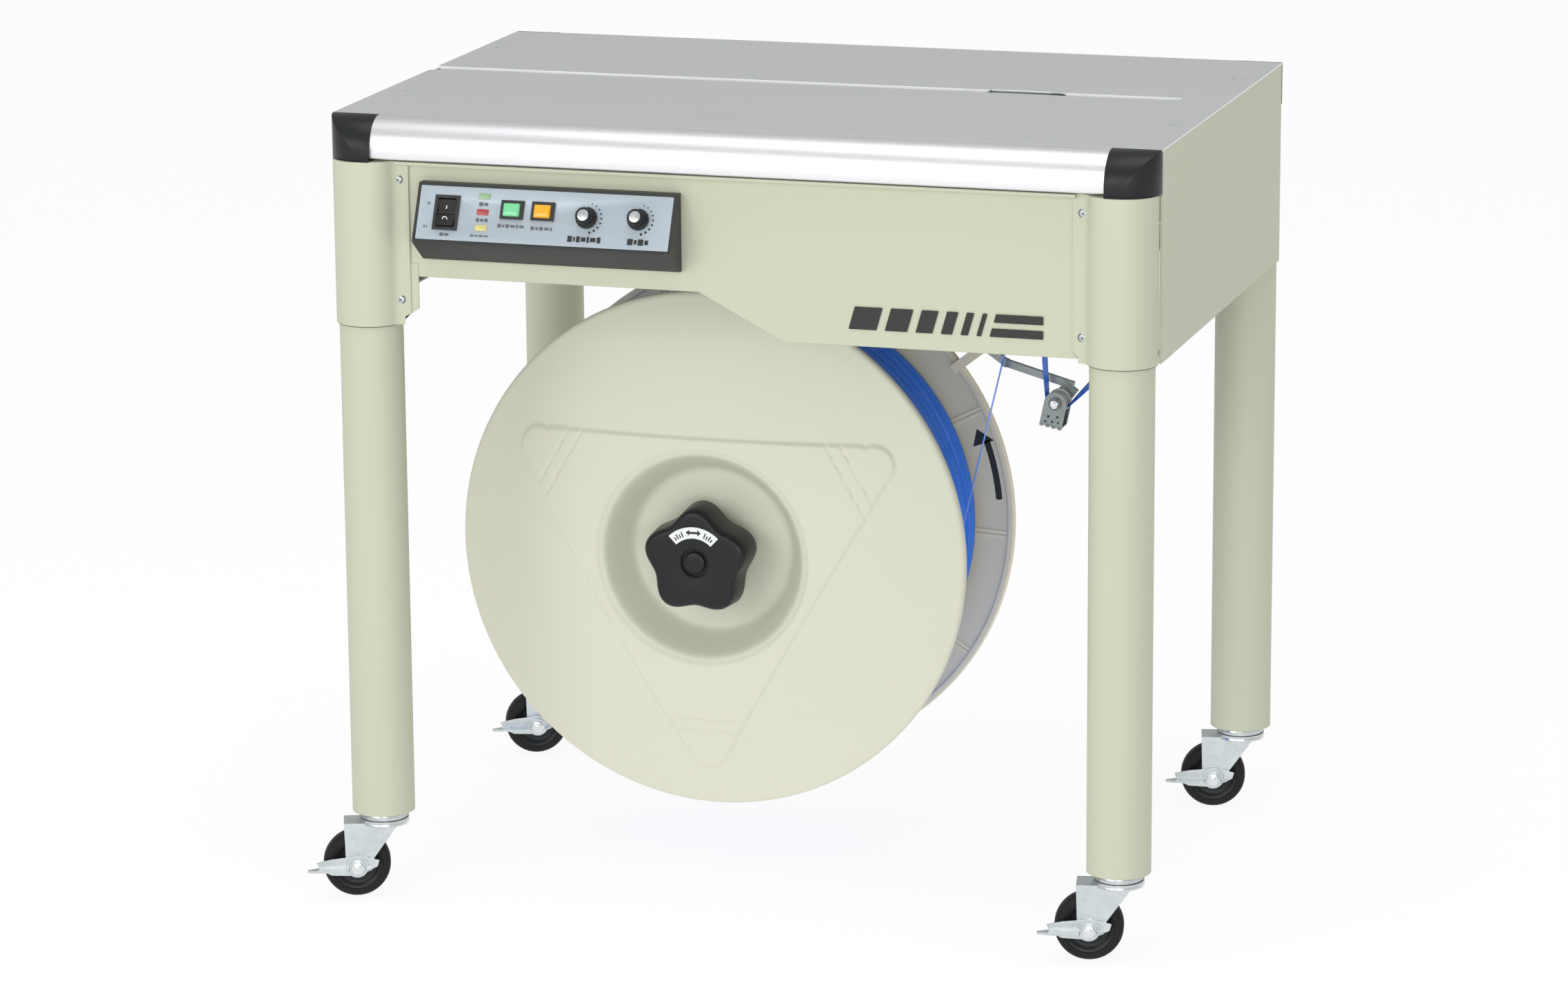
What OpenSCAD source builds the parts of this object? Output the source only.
// Semi-automatic strapping machine: a steel table on four casters, with a strap
// sealing head under the top, a strap reel hanging below, and a spring dancer arm
// that brakes the reel. The operator stands at -Y and the strap runs along X.
// Heights are counted from a datum plane that the casters carry a little above the floor.

/* [Table] */
// Width over the two side panels
table_w = 900; // [880:10:960]
// Height of the stainless top above the datum plane
table_h = 856; // [852:1:860]
// Thickness of the top plates
plate_t = 2; // [1.5:0.5:2]
// Distance from the centre to the front and rear edge of the flat top
top_half_d = 285; // [284:1:286]
// Radius of the rounded aluminium edge bars
bar_r = 31.5; // [30:0.5:33]

/* [Legs] */
// Outer radius of a leg tube
leg_r = 34; // [32:0.5:34]
// Outer radius of the sleeve around the top of a leg
sleeve_r = 36.75; // [36.5:0.25:37]
// Height of the underside of a leg tube above the datum plane
leg_z = 92; // [92:1:96]
// Height of the lower edge of the sleeves
sleeve_z = 634; // [600:1:640]

/* [Casters] */
// Radius of a caster wheel
wheel_r = 36.5; // [35:0.5:37]
// Width of the wheel's tread
wheel_w = 25; // [20:1:25]
// Distance from the swivel axis to the axle
trail = 30.5; // [28:0.5:32]
// How far the four casters are turned: front left, front right, rear left, rear right
caster_turn = [22, 12, 24, 13]; // [-30:1:30]

/* [Reel] */
// Radius of the two reel flanges
flange_r = 288; // [270:1:288]
// Outer radius of the wound strap
coil_r = 245; // [150:5:250]
// Centre of the reel, across and up
reel_c = [-100, 352.7]; // [-110:0.1:360]
// Y of the front flange's rim
flange_y = -85; // [-90:1:-80]
// Gap between the flanges
reel_gap = 207; // [200:1:207]
// How far the front flange bulges to the front
dish = 33; // [20:1:34]

/* [Strap] */
// Width of the strap
strap_w = 15; // [9:1:15]
// Thickness of the strap
strap_t = 0.7; // [0.5:0.1:0.8]
// Y of the middle of the strap, where it runs through the machine
strap_y = 18.5; // [18:0.5:19]

/* [Hidden] */
$fn = 64;

// The origin is on the floor, under the middle of the whole machine. The brake
// pedals reach past the table, so the table's own centre is a little off it.
lift = 4;                // height of the datum plane above the floor
stand = [14.5, 9.5, lift];

run_gap = 0.06;          // radial clearance of a running fit
half_w = table_w / 2;
leg_x = half_w - 39;
leg_y = 289;
cap_z = table_h - 46;    // top of the sleeves, underside of the caps
bar_z = table_h - 43;    // underside of the edge bars
cap_in = half_w - 52;    // inner end of a corner cap
side_half = 282;         // half the length of a side panel
under = table_h - plate_t;

slot_y = [10, 27];       // front and rear edge of the strap slot in the top
slot_end = 397;          // right end of the strap slot
slide_x = [185, 267];    // the opening over the slide plate
exit_x = 163;            // where the strap comes up through the top

panel_y = 298;           // outer face of the front and rear panels
rail_y = panel_y - 2;    // outer face of the long rails
rail_s = 25;             // side of the square rails
rail_z = table_h - 76;   // underside of the rails
mid_rails = [-135, 105, 335];  // left faces of the three middle cross rails

// Flush screws in the two top plates
front_screws = [[427, -119], [424, -137], [-427, -119], [-424, -137]];
rear_screws = [[421, 168], [432, 171], [-421, 168], [-432, 171]];

housing_x = [-345, -59]; // left and right end of the control housing
housing_z = 790;         // top of the control housing
face_lean = atan(26 / 58);
face_len = sqrt(26 * 26 + 58 * 58);

rocker_at = [34.7, 31.8];
rocker_pin_r = 0.94;
lamps_at = [[75, 12], [75, 29], [75, 46]];
feed_button_at = [107.6, 25.6];
reset_button_at = [141.6, 25.6];
feed_knob_at = [190.4, 29.7];
tension_knob_at = [247, 28.7];

spindle_r = 12.5;
core_r = 110;
rear_y = flange_y + reel_gap + 3;   // front face of the rear flange
post_y = rear_y + 15;               // front face of the reel bracket's boss

pivot = [120, 612];      // dancer lever's pivot, across and up
pivot_r = 8;
arm_bend = [202, 555];
arm_end = [278, 534];
roller_at = [264.2, 518.6];
roller_r = 13;
guide_r = 11.5;
upper_guide = [237.5, 655];
lower_guide = [345, 605];
shoe_angle = 38.2;       // where the brake shoe meets the rim of the rear flange
shoe_tail = 309;         // radius at which the shoe is carried by the lever

cam_at = [226, 785];
cam_r = 19.5;
cam_pulley_r = 48;
motor_at = [290, 700];
motor_pulley_r = 22;
pulley_y = [76, 88];
feed_at = [146.4, 770];
feed_r = 16;
pinch_at = [175.6, 770];
pinch_r = 12;

cream = [0.82, 0.83, 0.74];
dark = [0.10, 0.10, 0.11];
steel = [0.72, 0.74, 0.73];
zinc = [0.62, 0.66, 0.66];

// ---- helpers ----

// Puts a sub-part, made about the table's centre line, where the machine stands
module placed() {
    translate(stand) children();
}

// A box from one corner to the other
module block(a, b) {
    translate(a) cube(b - a);
}

// A cylinder along Y through [x, z], from y0 to y1
module bar_y(p, r, y0, y1) {
    translate([p[0], y1, p[1]]) rotate([90, 0, 0]) cylinder(h = y1 - y0, r = r);
}

// A flat shape drawn in X and Z, from y0 to y1
module plate_y(y0, y1) {
    translate([0, y1, 0]) rotate([90, 0, 0]) linear_extrude(y1 - y0) children();
}

// A shape drawn in Y and Z, from x0 to x1
module plate_x(x0, x1) {
    translate([x0, 0, 0]) rotate([90, 0, 90]) linear_extrude(x1 - x0) children();
}

// Copies a shape made for the front left corner to all four corners
module corners() {
    for (sx = [0, 1], sy = [0, 1])
        mirror([sx, 0, 0]) mirror([0, sy, 0]) children();
}

// Points of an arc
function arc(c, r, a0, a1, n = 16) =
    [for (i = [0:n]) c + r * [cos(a0 + (a1 - a0) * i / n), sin(a0 + (a1 - a0) * i / n)]];

// A point given as radius and angle from the reel's centre
function at_reel(r, a) = reel_c + r * [cos(a), sin(a)];

// The frame of the sloped control face: u to the right, v down from its upper edge
module on_face(p) {
    translate([housing_x[0], -panel_y - 11, housing_z])
        rotate([90 - face_lean, 0, 0])
            translate([p[0], -p[1], 0]) children();
}

// ---- legs and frame ----

module leg_tubes() {
    color(cream) placed() corners() translate([-leg_x, -leg_y, 0]) difference() {
        translate([0, 0, leg_z]) cylinder(h = cap_z - 4 - leg_z, r = leg_r);
        translate([0, 0, leg_z + 14]) cylinder(h = table_h, r = leg_r - 2);
        translate([0, 0, leg_z - 1]) cylinder(h = 20, r = 6 + run_gap);
    }
}

module leg_sleeves() {
    flange_in = leg_x - 50;
    color(cream) placed() corners() {
        translate([-leg_x, -leg_y, sleeve_z]) difference() {
            cylinder(h = cap_z - sleeve_z, r = sleeve_r);
            translate([0, 0, -1]) cylinder(h = cap_z, r = leg_r + 0.2);
        }
        difference() {
            plate_y(-panel_y - 3, -panel_y) polygon([
                [-leg_x + 36.9, cap_z], [-flange_in, cap_z], [-flange_in, sleeve_z + 12],
                [-flange_in - 12, sleeve_z], [-leg_x + 32, sleeve_z], [-leg_x + 32, cap_z]
            ]);
            translate([-leg_x, -leg_y, sleeve_z - 1]) cylinder(h = cap_z, r = leg_r + 0.2);
            for (z = [790, 665]) bar_y([-flange_in - 10, z], 2.6, -panel_y - 9, -panel_y + 9);
        }
    }
}

module corner_caps() {
    r = bar_r + 5;
    column_r = half_w - leg_x;
    column_y = column_r - top_half_d - r;
    color(dark) placed() corners() difference() {
        intersection() {
            plate_x(-half_w, -cap_in) polygon(concat(
                arc([-top_half_d, table_h - r], r, 90, 180),
                [[-top_half_d - r, cap_z], [-top_half_d + 22, cap_z],
                 [-top_half_d + 22, under - 1], [-top_half_d, under - 1]]
            ));
            union() {
                translate([-leg_x, column_y, cap_z - 1]) cylinder(h = 60, r = column_r);
                block([-leg_x, -400, cap_z - 1], [-cap_in, 0, table_h + 1]);
                block([-half_w, column_y, cap_z - 1], [-cap_in, 0, table_h + 1]);
            }
        }
        block([-half_w - 1, -side_half - 0.5, cap_z - 2], [-half_w + 2.6, 0, table_h]);
    }
}

module long_rails() {
    color(steel) placed() for (s = [0, 1]) mirror([0, s, 0]) plate_x(-372, 372)
        difference() {
            translate([-rail_y, rail_z]) square(rail_s);
            translate([-rail_y + 2, rail_z + 2]) square(rail_s - 4);
        }
}

module cross_rails() {
    reach = rail_y - rail_s;
    side = half_w - 32;
    color(steel) placed() for (x = concat([-side - 3, side - 22], mid_rails)) {
        long = abs(x) > 390 ? 245 : reach;
        plate_y(-long, long) difference() {
            translate([x, rail_z]) square(rail_s);
            translate([x + 2, rail_z + 2]) square(rail_s - 4);
        }
    }
}

module fasteners() {
    color(zinc) placed() {
        corners() for (z = [790, 665]) {
            bar_y([-leg_x + 40, z], 2.5, -panel_y - 3, -panel_y);
            bar_y([-leg_x + 40, z], 3.9, -panel_y - 5.2, -panel_y - 3);
        }
        for (p = concat(front_screws, rear_screws))
            translate([p[0], p[1], table_h - 1.2]) cylinder(h = 1.2, r = 3);
    }
}

// ---- panels and top ----

panel_l = -369;              // left edge of the front panel
panel_r = 372;               // its right edge
panel_top = 808;             // upper edge of the panels
low_z = 638;                 // lower edge of the panels on the right
high_z = 686;                // lower edge of the front panel on the left
slope_x = [-41, 51];         // where the lower edge slopes from one to the other

lip_half = 360.5;            // half the length of the upper lips, between the sleeves

module front_panel() {
    y0 = -panel_y;
    color(cream) placed() {
        difference() {
            plate_y(y0, y0 + 2) polygon([
                [panel_l, panel_top], [panel_r, panel_top], [panel_r, low_z],
                [slope_x[1], low_z], [slope_x[0], high_z], [panel_l, high_z]
            ]);
            block([-220, y0 - 1, 730], [-150, y0 + 3, 765]);
        }
        translate([0, y0, panel_top - 1.5]) linear_extrude(3.5) polygon([
            [panel_l - 6, -9], [panel_r - 7, -9], [panel_r - 7, -3.1], [lip_half, -3.1],
            [lip_half, 2], [-lip_half, 2], [-lip_half, -3.1], [panel_l - 6, -3.1]
        ]);
        block([panel_l, y0, high_z], [slope_x[0], y0 + 16, high_z + 2]);
        block([slope_x[1], y0, low_z], [panel_r, y0 + 16, low_z + 2]);
        plate_y(y0, y0 + 16) polygon([
            [slope_x[0], high_z], [slope_x[1], low_z],
            [slope_x[1], low_z + 2.3], [slope_x[0], high_z + 2]
        ]);
    }
}

module rear_panel() {
    y1 = panel_y;
    color(cream) placed() difference() {
        union() {
            block([panel_l, y1 - 2, low_z], [-panel_l, y1, panel_top]);
            block([panel_l, y1 - 16, low_z], [-panel_l, y1, low_z + 2]);
            block([-lip_half, y1 - 2, panel_top], [lip_half, y1 + 8, panel_top + 2]);
        }
        bar_y([300, 670], 11, y1 - 3, y1 + 1);
        for (i = [0:5]) block([-300 + i * 14, y1 - 3, 670], [-295 + i * 14, y1 + 1, 720]);
    }
}

module side_panels() {
    color(cream) placed() for (s = [0, 1]) mirror([s, 0, 0]) {
        block([-half_w, -side_half, 634], [-half_w + 2.5, side_half, under]);
        block([-half_w, -245, 634], [-half_w + 16, 245, 636]);
        block([-half_w, -245, 848], [-half_w + 16, slot_y[0] - 3, 850]);
        block([-half_w, slot_y[1] + 3, 848], [-half_w + 16, 245, 850]);
    }
}

module front_top_plate() {
    color(steel) placed() difference() {
        union() {
            block([-half_w, -top_half_d, under], [half_w, slot_y[0], table_h]);
            block([-380, -top_half_d, under - 6], [380, -top_half_d + 2, under]);
            block([-430, slot_y[0] - 2, under - 3.5], [430, slot_y[0], under]);
        }
        block([-half_w - 1, slot_y[0] - 8, under - 9], [-half_w + 13, slot_y[0] + 1, table_h + 1]);
        block([slide_x[0] - 2, slot_y[0] - 3, under - 9], [slide_x[1] + 2, slot_y[0] + 1, under]);
        for (p = front_screws)
            translate([p[0], p[1], table_h - 1.2]) cylinder(h = 2, r = 3);
    }
}

module rear_top_plate() {
    color(steel) placed() difference() {
        union() {
            block([-half_w, slot_y[1], under], [half_w, top_half_d, table_h]);
            block([slot_end, slot_y[0], under], [half_w, slot_y[1] + 1, table_h]);
            block([-380, top_half_d - 2, under - 6], [380, top_half_d, under]);
            block([-half_w + 2.5, slot_y[1], under - 3.5], [430, slot_y[1] + 2, under]);
        }
        block([slide_x[0] - 2, slot_y[1] - 1, under - 9], [slide_x[1] + 2, slot_y[1] + 3, under]);
        plate_y(slot_y[1] - 1, slot_y[1] + 4) polygon([
            [slide_x[0], under - 1], [slide_x[1], under - 1],
            [slide_x[1], table_h - 1], [slide_x[1] - 30, table_h + 1], [slide_x[0], table_h + 1]
        ]);
        for (p = rear_screws)
            translate([p[0], p[1], table_h - 1.2]) cylinder(h = 2, r = 3);
    }
}

module edge_bars() {
    wall = 3;
    c = [-top_half_d, table_h - bar_r];
    color([0.86, 0.87, 0.87]) placed() for (s = [0, 1]) mirror([0, s, 0])
        plate_x(-cap_in, cap_in) polygon(concat(
            arc(c, bar_r, 90, 180),
            [[c[0] - bar_r, bar_z], [c[0] - 8, bar_z], [c[0] - 8, bar_z + wall],
             [c[0] - bar_r + wall, bar_z + wall]],
            arc(c, bar_r - wall, 180, 90)
        ));
}

module strap_channel() {
    z0 = under - 5;
    y0 = slot_y[0] - 2;
    y1 = slot_y[1] + 2;
    color([0.85, 0.86, 0.86]) placed() difference() {
        union() {
            block([-half_w + 3, y0, z0], [slot_end + 3, y1, z0 + 1.4]);
            block([slot_end, slot_y[0], z0], [slot_end + 3, slot_y[1], under]);
        }
        block([exit_x - 6, slot_y[0] + 0.5, z0 - 1], [exit_x + 5, slot_y[1] - 0.5, under]);
        block([slide_x[0] - 5, y0 - 1, z0 - 1], [slide_x[1] + 3, y1 + 1, under]);
        block([387, slot_y[0] + 1, z0 - 1], [395, slot_y[1] - 1, under]);
    }
}

module slide_plate() {
    color([0.30, 0.31, 0.32]) placed()
        block([slide_x[0], 6, under - 3.8], [slide_x[1], 66, under - 0.4]);
}

// ---- control panel ----

// Outline of the housing in Y and Z
housing_outline = [
    [-panel_y, housing_z], [-panel_y - 11, housing_z], [-panel_y - 37, housing_z - 58],
    [-panel_y - 15, housing_z - 87], [-panel_y, housing_z - 87]
];

module control_housing() {
    hollow = [
        [-panel_y + 1, housing_z - 4], [-panel_y - 6, housing_z - 4],
        [-panel_y - 31, housing_z - 59], [-panel_y - 13, housing_z - 83],
        [-panel_y + 1, housing_z - 83]
    ];
    color(dark) placed() difference() {
        plate_x(housing_x[0], housing_x[1]) polygon(housing_outline);
        plate_x(housing_x[0] + 3, housing_x[1] - 3) polygon(hollow);
        on_face([3, face_len - 2.4]) translate([0, 0, -1.4]) cube([280, face_len - 4.8, 2]);
        on_face(rocker_at) translate([-12, -17, -8]) cube([24, 34, 16]);
        for (p = [feed_button_at, reset_button_at])
            on_face(p) translate([-9, -7, -8]) cube([18, 14, 16]);
        for (p = [feed_knob_at, tension_knob_at])
            on_face(p) translate([0, 0, -8]) cylinder(h = 16, r = 4.5);
    }
}

module face_plate() {
    color([0.80, 0.84, 0.88]) placed() difference() {
        on_face([3.3, face_len - 2.7]) translate([0, 0, -1.4])
            cube([279.4, face_len - 5.4, 1.2]);
        on_face(rocker_at) translate([-12, -17, -4]) cube([24, 34, 8]);
        for (p = lamps_at) on_face(p) translate([-6.7, -3.4, -4]) cube([13.4, 6.8, 8]);
        for (p = [feed_button_at, reset_button_at])
            on_face(p) translate([-9, -7, -4]) cube([18, 14, 8]);
        for (p = [feed_knob_at, tension_knob_at])
            on_face(p) translate([0, 0, -4]) cylinder(h = 8, r = 4.5);
    }
}

module frame_ring(w, h, inner_w, inner_h, t) {
    difference() {
        translate([-w / 2, -h / 2, 0]) cube([w, h, t]);
        translate([-inner_w / 2, -inner_h / 2, -1]) cube([inner_w, inner_h, t + 2]);
    }
}

module switch_bezels() {
    color(dark) placed() {
        on_face(rocker_at) {
            translate([0, 0, -0.2]) frame_ring(27.5, 37.5, 20.6, 30.6, 2.6);
            rotate([0, 90, 0]) translate([-0.2, 0, -11.5]) cylinder(h = 23, r = rocker_pin_r);
        }
        for (p = [feed_button_at, reset_button_at])
            on_face(p) translate([0, 0, -0.2]) frame_ring(25, 20, 18.4, 14.4, 3.4);
    }
}

module rocker_switch() {
    color(dark) placed() on_face(rocker_at) rotate([0, 90, 0]) difference() {
        translate([0, 0, -10]) linear_extrude(20) polygon([
            [-6.2, -14.2], [-1.6, 0.2], [-1.6, 14.2], [4.5, 10], [4.5, -10], [-1.8, -14.6]
        ]);
        translate([-0.2, 0, -11]) cylinder(h = 22, r = rocker_pin_r + run_gap);
    }
}

module status_lamps() {
    tints = [[0.30, 0.70, 0.42], [0.80, 0.15, 0.15], [0.85, 0.80, 0.30]];
    placed() for (i = [0:2]) color(tints[i])
        on_face(lamps_at[i]) translate([-6.5, -3.2, -1.4]) cube([13, 6.4, 1.8]);
}

module push_button(p, tint) {
    color(tint) placed() on_face(p) {
        translate([-8.9, -6.9, -1]) cube([17.8, 13.8, 6.6]);
        translate([-6, -4, -5]) cube([12, 8, 4]);
    }
}

module feed_button() { push_button(feed_button_at, [0.45, 0.85, 0.62]); }
module reset_button() { push_button(reset_button_at, [0.98, 0.68, 0.15]); }

module dial_knob(p) {
    color(dark) placed() on_face(p) {
        translate([0, 0, 0.4]) cylinder(h = 4.6, r = 11.5);
        translate([0, 0, 5]) cylinder(h = 10, r = 9);
        translate([0, 0, -7]) cylinder(h = 8, r = 3);
    }
}

module feed_knob() { dial_knob(feed_knob_at); }
module tension_knob() { dial_knob(tension_knob_at); }

// ---- reel ----

// Revolves a half section, drawn as [radius, y], about the reel's axis
module about_reel() {
    translate([reel_c[0], 0, reel_c[1]]) rotate([-90, 0, 0]) rotate_extrude($fn = 96)
        children();
}

module reel_bracket() {
    x0 = reel_c[0] - 30;
    color(cream) placed() difference() {
        union() {
            block([x0, post_y + 3, reel_c[1] - 55], [x0 + 60, post_y + 6, rail_z]);
            block([x0, post_y + 6, reel_c[1] - 55], [x0 + 3, post_y + 26, rail_z]);
            block([x0 + 57, post_y + 6, reel_c[1] - 55], [x0 + 60, post_y + 26, rail_z]);
            bar_y(reel_c, 40, post_y - 3, post_y + 3.5);
            bar_y(reel_c, spindle_r, flange_y - 54, post_y + 3.5);
            bar_y(reel_c, 18, post_y - 6, post_y);
        }
    }
}

module reel_core() {
    color([0.70, 0.71, 0.70]) placed() about_reel() difference() {
        polygon([
            [spindle_r + run_gap, flange_y + 24], [spindle_r + run_gap, rear_y + 6],
            [core_r, rear_y], [core_r, flange_y + 24]
        ]);
        polygon([
            [spindle_r + 6, flange_y + 20], [spindle_r + 6, rear_y - 8],
            [core_r - 4, rear_y - 8], [core_r - 4, flange_y + 20]
        ]);
    }
}

module rear_flange() {
    color([0.66, 0.67, 0.65]) placed() {
        about_reel() polygon([
            [core_r + 0.1, rear_y], [flange_r - 6, rear_y], [flange_r - 6, rear_y - 4],
            [flange_r, rear_y - 4], [flange_r, rear_y + 5], [flange_r - 3, rear_y + 5],
            [flange_r - 3, rear_y + 3], [core_r + 0.1, rear_y + 3]
        ]);
        for (i = [0:11]) translate([reel_c[0], 0, reel_c[1]]) rotate([0, i * 30 + 3, 0])
            block([core_r + 12, rear_y - 2, -1], [flange_r - 5, rear_y + 1, 1]);
    }
}

module strap_coil() {
    color([0.24, 0.43, 0.80]) placed() about_reel()
        translate([core_r + 0.2, flange_y + 14])
            square([coil_r - core_r - 0.2, reel_gap - 20]);
}

// Half section of the dished front flange
module dish_section(t) {
    outer = [
        [flange_r, flange_y + 9], [flange_r, flange_y + 1], [flange_r - 2, flange_y - 1],
        [flange_r - 10, flange_y - 2], [230, flange_y - 16], [175, flange_y - 27],
        [130, flange_y - dish + 0.5], [108, flange_y - dish], [100, flange_y - dish + 6],
        [86, flange_y + 6], [80, flange_y + 9], [spindle_r + run_gap, flange_y + 9]
    ];
    inner = [
        [spindle_r + run_gap, flange_y + 9 + t], [79, flange_y + 9 + t],
        [89, flange_y + 8], [103, flange_y - dish + 8], [109, flange_y - dish + t],
        [130, flange_y - dish + t + 0.5], [175, flange_y - 27 + t],
        [230, flange_y - 16 + t], [flange_r - 10, flange_y - 2 + t + 0.5],
        [flange_r - 3, flange_y + 9]
    ];
    polygon(concat(outer, inner));
}

module front_flange() {
    color(cream) placed() about_reel() dish_section(3);
}

module reel_knob() {
    lobes = 5;
    y0 = flange_y - 62;
    color(dark) placed() difference() {
        union() {
            bar_y(reel_c, 52, y0, y0 + 40);
            for (i = [0:lobes - 1]) bar_y(reel_c + 44 * [cos(90 + i * 72), sin(90 + i * 72)],
                18, y0, y0 + 38);
            bar_y(reel_c, 26, y0 + 40, flange_y + 8.6);
        }
        for (i = [0:lobes - 1]) bar_y(reel_c + 67 * [cos(54 + i * 72), sin(54 + i * 72)],
            19, y0 - 1, y0 + 45);
        bar_y(reel_c, spindle_r + run_gap, y0 + 6, flange_y + 20);
    }
}

// ---- dancer lever and strap path ----

// A straight flat bar of width w between two points in X and Z
module link(a, b, w, y0, y1) {
    d = b - a;
    plate_y(y0, y1) translate(a) rotate(atan2(d[1], d[0]))
        translate([0, -w / 2]) square([norm(d), w]);
}

module dancer_post() {
    color(zinc) placed() {
        for (y = [-22, 156]) difference() {
            block([105, y, pivot[1] - 14], [135, y + 5, rail_z]);
            bar_y(pivot, pivot_r, y - 1, y + 6);
        }
        bar_y(pivot, pivot_r - 0.02, -24, 163);
    }
}

module dancer_arm() {
    y0 = 31;
    y1 = 37;
    tilt = 12;
    color(zinc) placed() difference() {
        union() {
            bar_y(pivot, 12, -15, 154);
            link(pivot, arm_bend, 8, y0, y1);
            bar_y(arm_bend, 4.7, y0, y1);
            link(arm_bend, arm_end, 8, y0, y1);
            link(pivot, at_reel(shoe_tail, shoe_angle - 1), 10, rear_y + 17, rear_y + 23);
            translate([roller_at[0], 0, roller_at[1]]) rotate([0, tilt, 0]) difference() {
                plate_y(6, 31) polygon(concat(
                    arc([0, 0], 12.5, 0, 180), [[-12.5, -26], [12.5, -26]]));
                block([-20, 8.4, -24], [20, 28.6, 20]);
            }
            link(roller_at, arm_end - [2, 0], 18, 29.8, y1);
            bar_y(roller_at, 4, 4, 33);
            bar_y(roller_at, 7, 3, 6);
        }
        bar_y(pivot, pivot_r + run_gap, -20, 160);
    }
}

module brake_shoe() {
    color(dark) placed() difference() {
        translate([reel_c[0], 0, reel_c[1]]) rotate([0, -shoe_angle, 0])
            block([flange_r - 9, rear_y - 12, -5.5], [shoe_tail + 9, rear_y + 17, 5.5]);
        about_reel() translate([0, rear_y - 7]) square([flange_r + 1.6, 15]);
        bar_y(reel_c, flange_r + 1.6, rear_y + 7, rear_y + 18);
    }
}

// A grooved strap roller around p, with its bore on a pin of radius pin_r
module strap_roller(p, r, pin_r) {
    translate([p[0], 0, p[1]]) rotate([-90, 0, 0]) rotate_extrude() polygon([
        [pin_r + run_gap, strap_y - 9], [r + 2, strap_y - 9], [r + 2, strap_y - 8],
        [r, strap_y - 8], [r, strap_y + 8], [r + 2, strap_y + 8],
        [r + 2, strap_y + 9], [pin_r + run_gap, strap_y + 9]
    ]);
}

module dancer_roller() { color([0.9, 0.9, 0.88]) placed() strap_roller(roller_at, roller_r - 2.2, 4); }
module upper_guide_roller() { color([0.9, 0.9, 0.88]) placed() strap_roller(upper_guide, guide_r, 4); }
module lower_guide_roller() { color([0.9, 0.9, 0.88]) placed() strap_roller(lower_guide, guide_r, 4); }

module dancer_spring() {
    wire = 1.2;
    color(steel) placed() {
        for (i = [0:8]) translate([pivot[0], 60 + i * 3, pivot[1]]) rotate([90, 0, 0])
            rotate_extrude() translate([14, 0]) circle(wire + 0.35, $fn = 24);
        bar_y([pivot[0] + 14, pivot[1]], wire, 84, 110);
        translate([pivot[0] + 14, 110, pivot[1] - 1]) cylinder(h = rail_z - pivot[1] + 1, r = wire);
    }
}

module guide_bracket() {
    color(zinc) placed() {
        plate_y(38, 42) polygon([
            [226, 643], [250, 643], [332, 662], [332, 592], [358, 592], [358, rail_z],
            [335, rail_z], [335, 700], [226, 668]
        ]);
        for (p = [upper_guide, lower_guide]) {
            bar_y(p, 4, 6, 38);
            bar_y(p, 7, 3.5, 6);
        }
    }
}

// The strap's route as wraps around round things: [centre, radius, turn], where
// turn is 1 for a left-hand turn and -1 for a right-hand one.
wraps = [
    [reel_c, coil_r + strap_t, 1],
    [upper_guide, guide_r + strap_t, -1],
    [roller_at, roller_r - 2.2 + strap_t, 1],
    [lower_guide, guide_r + strap_t, 1],
    [pinch_at, pinch_r + strap_t, -1]
];

// Heading of the straight run that leaves wrap a and meets wrap b
function heading(a, b) = let(d = b[0] - a[0], k = b[2] * b[1] - a[2] * a[1])
    atan2(d[1], d[0]) - atan2(k, sqrt(d * d - k * k));
headings = concat([for (i = [0:3]) heading(wraps[i], wraps[i + 1])], [90]);
turn_to = function (a, b, s) s > 0 ? (b - a + 720) % 360 : -((a - b + 720) % 360);

function wrap_points(i) = let(
    w = wraps[i],
    a0 = headings[i - 1],
    sweep = turn_to(a0, headings[i], w[2]),
    n = ceil(abs(sweep) / 15)
) [for (j = [0:n]) let(a = a0 + sweep * j / n) [w[0] + w[2] * w[1] * [sin(a), -cos(a)], a]];

route = concat(
    [[wraps[0][0] + wraps[0][1] * [sin(headings[0]), -cos(headings[0])], headings[0]]],
    [for (i = [1:4]) each wrap_points(i)],
    [[[pinch_at[0] - pinch_r - strap_t, 846], 90]]
);

module strap_run() {
    half = strap_t / 2 - 0.1;
    side = [for (p = route) p[0] + half * [-sin(p[1]), cos(p[1])]];
    back = [for (i = [len(route) - 1:-1:0])
        route[i][0] - half * [-sin(route[i][1]), cos(route[i][1])]];
    color([0.24, 0.43, 0.80]) placed()
        plate_y(strap_y - strap_w / 2, strap_y + strap_w / 2) polygon(concat(side, back));
}

// ---- sealing head ----

module head_frame() {
    color(zinc) placed() difference() {
        union() {
            block([105, -50, rail_z + rail_s], [360, 72, rail_z + rail_s + 6]);
            for (y = [-34, 64]) block([132, y, 738], [330, y + 6, rail_z + rail_s]);
            block([190, -12, rail_z + rail_s], [262, 50, 846]);
        }
        block([199.5, 10.5, rail_z + rail_s - 1], [252.5, 26.5, 847]);
        block([200, 4, rail_z + rail_s - 1], [252, 33, 815]);
        block([exit_x - 8, 8, rail_z + rail_s - 1], [exit_x + 8, 29, 815]);
        block([130, 6, rail_z + rail_s - 1], [192, 31, 815]);
        for (p = [cam_at, feed_at, pinch_at]) bar_y(p, 5 + run_gap, -40, 75);
    }
}

module press_head() {
    color(steel) placed() {
        block([200, 11, 806], [252, 26, 840]);
        block([214, 11, 840], [238, 26, 843.5]);
    }
}

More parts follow.
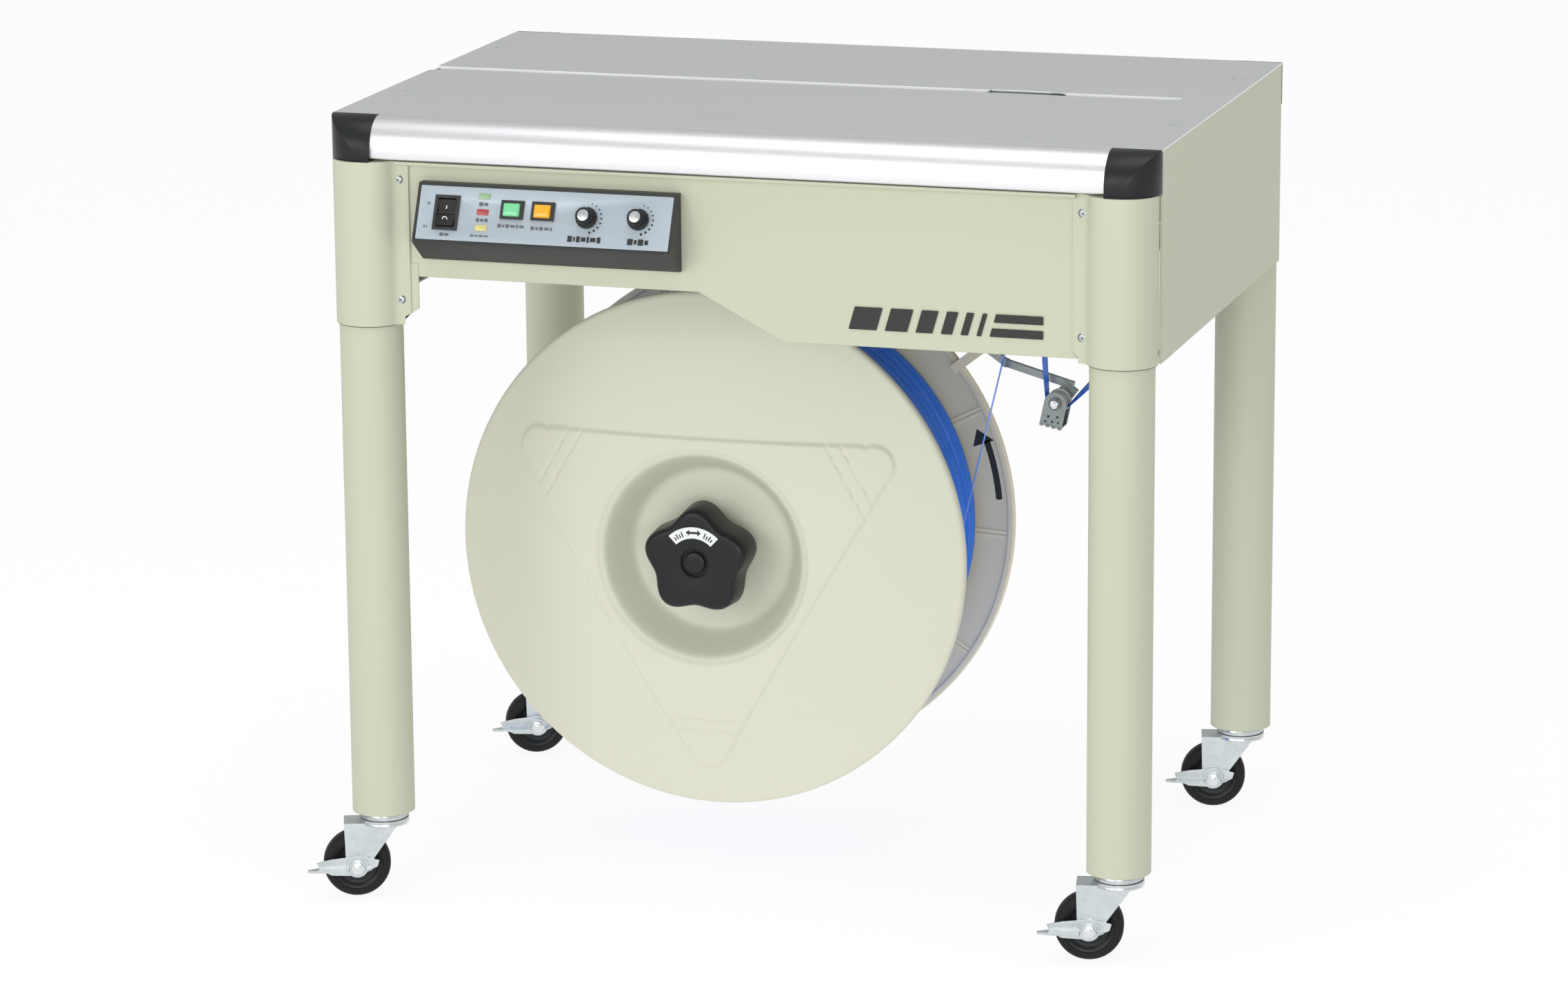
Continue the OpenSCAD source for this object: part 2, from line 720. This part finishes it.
module cam_shaft() {
    color(steel) placed() {
        bar_y(cam_at, 5, -38, 90);
        for (i = [0:2]) difference() {
            bar_y(cam_at, cam_r, 6 + i * 9, 12 + i * 9);
            bar_y(cam_at + 24 * [cos(i * 70), sin(i * 70)], 11, 5 + i * 9, 13 + i * 9);
        }
        bar_y(cam_at, cam_pulley_r, pulley_y[0], pulley_y[1]);
    }
}

module motor_pulley() {
    color(steel) placed() {
        bar_y(motor_at, motor_pulley_r, pulley_y[0], pulley_y[1]);
        bar_y(motor_at, 6, pulley_y[1], pulley_y[1] + 10);
    }
}

module drive_belt() {
    color(dark) placed() plate_y(pulley_y[0] + 1, pulley_y[1] - 1) difference() {
        hull() {
            translate(cam_at) circle(cam_pulley_r + 3.5);
            translate(motor_at) circle(motor_pulley_r + 3.5);
        }
        hull() {
            translate(cam_at) circle(cam_pulley_r + 0.5);
            translate(motor_at) circle(motor_pulley_r + 0.5);
        }
    }
}

module drive_motor() {
    color([0.25, 0.30, 0.34]) placed() difference() {
        union() {
            bar_y(motor_at, 45, 98, 200);
            block([motor_at[0] - 45, 94, motor_at[1] - 45], [334.9, 98, rail_z + 20]);
        }
        bar_y(motor_at, 6 + run_gap, 90, 112);
    }
}

module feed_roller() {
    color([0.55, 0.20, 0.12]) placed() {
        bar_y(feed_at, feed_r, strap_y - 8, strap_y + 8);
        bar_y(feed_at, 5, -36, 72);
    }
}

module pinch_roller() {
    color(steel) placed() {
        bar_y(pinch_at, pinch_r, strap_y - 8, strap_y + 8);
        bar_y(pinch_at, 5, -36, 72);
    }
}

module control_box() {
    color([0.75, 0.75, 0.72]) placed() difference() {
        block([-330, -60, 706], [-135, 110, 790]);
        block([-328, -58, 708], [-137, 108, 788]);
        bar_y([-200, 750], 8, -62, -57);
    }
}

// ---- casters ----

module caster_stems() {
    color(zinc) placed() corners() translate([-leg_x, -leg_y, 0]) {
        translate([0, 0, 72]) cylinder(h = 40, r = 6);
        translate([0, 0, leg_z - 4]) cylinder(h = 4, r = 14);
        translate([0, 0, 84]) cylinder(h = leg_z - 88, r = 25.5);
    }
}

// Puts a caster piece, made with its swivel axis on Z, under leg i
module under_leg(i) {
    placed() translate([i % 2 == 0 ? -leg_x : leg_x, i < 2 ? -leg_y : leg_y, 0])
        rotate([0, 0, caster_turn[i]]) children();
}

// The wheels' axle, where the wheels stand on the floor
axle = [-trail, wheel_r - lift];

module fork(i) {
    color(zinc) under_leg(i) difference() {
        union() {
            translate([0, 0, 77.5]) cylinder(h = 6, r = 27);
            block([-44, -16.5, 77.5], [0, 16.5, 80]);
            for (y = [-16.5, 14]) plate_y(y, y + 2.5) union() {
                polygon([[-44, 80], [14, 80], [14, 77], [-15, axle[1] + 4],
                         [-21, axle[1] - 4], [-40, axle[1] - 4], [-43, axle[1] + 10]]);
                translate(axle) circle(11);
            }
            bar_y(axle, 6, -22, 19);
            bar_y(axle, 9, 16.5, 21);
            bar_y(axle, 9, -24, -21.5);
        }
        translate([0, 0, 60]) cylinder(h = 30, r = 6 + run_gap);
    }
}

module wheel(i) {
    half = wheel_w / 2;
    color(dark) under_leg(i) translate([axle[0], 0, axle[1]]) rotate([90, 0, 0])
        rotate_extrude() polygon(concat(
            [[6 + run_gap, -half - 1]], [[12, -half - 1], [14, -half + 4], [25, -half + 4],
             [28, -half]],
            arc([wheel_r - 5, -half + 5], 5, -90, 0, 6),
            arc([wheel_r - 5, half - 5], 5, 0, 90, 6),
            [[28, half], [25, half - 4], [14, half - 4], [12, half + 1],
             [6 + run_gap, half + 1]]
        ));
}

module pedal(i) {
    color(zinc) under_leg(i) difference() {
        union() {
            bar_y(axle, 12, -21.4, -17);
            plate_y(-19.4, -17) translate(axle) polygon([
                [-44, 4.5], [-28, 8.5], [-8, 10.5], [12, 9.5], [24, 6.5], [22, -0.5],
                [8, -7.5], [-8, -10.5], [-28, -9.5], [-40, -3.5]
            ]);
            translate([axle[0], 0, axle[1] - 3.5]) linear_extrude(2.5) polygon([
                [-40, -17], [-54, -24], [-52, -28], [-34, -31], [-10, -33], [10, -29],
                [16, -22], [16, -17]
            ]);
        }
        bar_y(axle, 6 + run_gap, -40, -10);
        bar_y(axle, 9.5, -40, -21.4);
    }
}

module front_left_fork() { fork(0); }
module front_right_fork() { fork(1); }
module rear_left_fork() { fork(2); }
module rear_right_fork() { fork(3); }
module front_left_wheel() { wheel(0); }
module front_right_wheel() { wheel(1); }
module rear_left_wheel() { wheel(2); }
module rear_right_wheel() { wheel(3); }
module front_left_pedal() { pedal(0); }
module front_right_pedal() { pedal(1); }
module rear_left_pedal() { pedal(2); }
module rear_right_pedal() { pedal(3); }

leg_tubes();
leg_sleeves();
fasteners();
corner_caps();
long_rails();
cross_rails();
front_panel();
rear_panel();
side_panels();
front_top_plate();
rear_top_plate();
edge_bars();
strap_channel();
slide_plate();
control_housing();
face_plate();
switch_bezels();
rocker_switch();
status_lamps();
feed_button();
reset_button();
feed_knob();
tension_knob();
reel_bracket();
reel_core();
rear_flange();
strap_coil();
front_flange();
reel_knob();
dancer_post();
dancer_arm();
brake_shoe();
dancer_roller();
dancer_spring();
guide_bracket();
upper_guide_roller();
lower_guide_roller();
strap_run();
head_frame();
press_head();
cam_shaft();
drive_belt();
drive_motor();
motor_pulley();
feed_roller();
pinch_roller();
control_box();
caster_stems();
front_left_fork();
front_right_fork();
rear_left_fork();
rear_right_fork();
front_left_wheel();
front_right_wheel();
rear_left_wheel();
rear_right_wheel();
front_left_pedal();
front_right_pedal();
rear_left_pedal();
rear_right_pedal();
